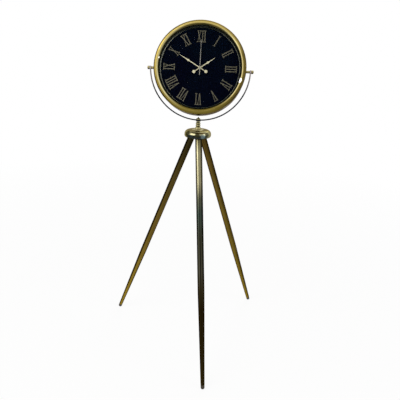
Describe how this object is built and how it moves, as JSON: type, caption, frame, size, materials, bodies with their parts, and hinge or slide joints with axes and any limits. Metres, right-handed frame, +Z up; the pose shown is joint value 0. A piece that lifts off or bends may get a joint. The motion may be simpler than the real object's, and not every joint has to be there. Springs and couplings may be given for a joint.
{
  "type": "tripod floor clock",
  "caption": "Round drum clock with Roman numerals, held in a thin half-ring yoke that swivels on a turned stem above three folding tube legs.",
  "frame": {"origin": "on the floor, at the middle of the box around the three feet", "axes": "+Z up, -Y the way the dial faces, +X to the right for someone looking at the dial"},
  "size_m": [0.6422, 0.6254, 1.2985],
  "materials": {
    "spun_brass": "polished and lacquered, aged gold",
    "leg_brass": "antique, dark olive gold, satin",
    "turned_brass": "polished, pale",
    "hand_brass": "pale champagne, satin",
    "numeral_brass": "dull, satin",
    "ring_metal": "olive lacquer, semi-gloss",
    "dial_paint": "painted blue-black, satin",
    "back_paint": "satin black",
    "glass": "clear, polished",
    "yoke_steel": "nickel plated, polished",
    "fastener_steel": "zinc plated",
    "cast_alloy": "as cast, lacquered",
    "foot_rubber": "matt black",
    "fibre": "matt",
    "black_plastic": "matt black",
    "battery_jacket": "plain printed jacket, semi-gloss"
  },
  "bodies": {
    "stand": {"hub_casting": "cast_alloy", "hub_cover": "spun_brass", "stem": "turned_brass", "hinge_bolts": "fastener_steel", "hinge_nuts": "fastener_steel", "hinge_washers": "fastener_steel"},
    "leg_front": {"leg_tube_front": "leg_brass", "leg_plug_front": "turned_brass", "foot_tip_front": "foot_rubber"},
    "leg_right": {"leg_tube_right": "leg_brass", "leg_plug_right": "turned_brass", "foot_tip_right": "foot_rubber"},
    "leg_left": {"leg_tube_left": "leg_brass", "leg_plug_left": "turned_brass", "foot_tip_left": "foot_rubber"},
    "yoke_arm": {"yoke": "yoke_steel", "swivel_washers": "fibre"},
    "finial": {"finial_nut": "turned_brass"},
    "head": {"case_shell": "spun_brass", "bezel": "spun_brass", "dial_glass": "glass", "dial_ring": "ring_metal", "dial_plate": "dial_paint", "dial_retainer": "black_plastic", "dial_numerals": "numeral_brass", "back_cover": "back_paint", "back_cover_screws": "fastener_steel", "pivot_sleeves": "turned_brass", "pivot_bosses": "turned_brass", "pivot_washers": "fibre", "movement_case": "black_plastic", "centre_bush": "turned_brass", "movement_gasket": "foot_rubber", "bush_washer": "turned_brass", "bush_nut": "turned_brass", "battery": "battery_jacket", "battery_contacts": "fastener_steel"},
    "knob_right": {"clamp_knob_right": "turned_brass"},
    "knob_left": {"clamp_knob_left": "turned_brass"},
    "hour": {"hour_hand": "hand_brass", "hour_pipe": "turned_brass"},
    "minute": {"minute_hand": "hand_brass", "minute_pipe": "turned_brass"},
    "second": {"second_hand": "hand_brass", "second_arbor": "fastener_steel"},
    "setting": {"set_wheel": "black_plastic"}
  },
  "joints": [
    {"name": "front_leg_fold", "type": "hinge", "parent": "stand", "child": "leg_front", "pos_m": [0.04306, 0.03716, 0.89462], "axis": [0.9778, 0.2096, 0], "range_deg": [0, 21.5]},
    {"name": "right_leg_fold", "type": "hinge", "parent": "stand", "child": "leg_right", "pos_m": [0.05381, 0.07047, 0.89462], "axis": [-0.6704, 0.742, 0], "range_deg": [0, 21.5]},
    {"name": "left_leg_fold", "type": "hinge", "parent": "stand", "child": "leg_left", "pos_m": [0.01959, 0.06313, 0.89462], "axis": [-0.3074, -0.9516, 0], "range_deg": [0, 21.5]},
    {"name": "yoke_swivel", "type": "hinge", "parent": "stand", "child": "yoke_arm", "pos_m": [0.03882, 0.05692, 0.94812], "axis": [0, 0, 1], "continuous": true},
    {"name": "finial_turn", "type": "hinge", "parent": "stand", "child": "finial", "pos_m": [0.03882, 0.05692, 0.95117], "axis": [0, 0, 1], "range_deg": [0, 180]},
    {"name": "head_tilt", "type": "hinge", "parent": "yoke_arm", "child": "head", "pos_m": [0.03882, 0.05692, 1.13025], "axis": [1, 0, 0], "continuous": true},
    {"name": "right_knob_turn", "type": "hinge", "parent": "head", "child": "knob_right", "pos_m": [0.2232, 0.05692, 1.13025], "axis": [1, 0, 0], "range_deg": [0, 360]},
    {"name": "left_knob_turn", "type": "hinge", "parent": "head", "child": "knob_left", "pos_m": [-0.1456, 0.05692, 1.13025], "axis": [-1, 0, 0], "range_deg": [0, 360]},
    {"name": "second_turn", "type": "hinge", "parent": "head", "child": "second", "pos_m": [0.03882, 0.05692, 1.13025], "axis": [0, 0.95, -0.3123], "continuous": true},
    {"name": "minute_turn", "type": "hinge", "parent": "head", "child": "minute", "pos_m": [0.03882, 0.05692, 1.13025], "axis": [0, 0.95, -0.3123], "continuous": true},
    {"name": "hour_turn", "type": "hinge", "parent": "head", "child": "hour", "pos_m": [0.03882, 0.05692, 1.13025], "axis": [0, 0.95, -0.3123], "continuous": true},
    {"name": "set_wheel_turn", "type": "hinge", "parent": "head", "child": "setting", "pos_m": [0.05182, 0.05253, 1.14538], "axis": [0, 0.95, -0.3123], "continuous": true}
  ],
  "couplings": [
    {"joint": "minute_turn", "follows": "second_turn", "ratio": 0.016667},
    {"joint": "hour_turn", "follows": "second_turn", "ratio": 0.0013889},
    {"joint": "set_wheel_turn", "follows": "second_turn", "ratio": -0.016667}
  ]
}
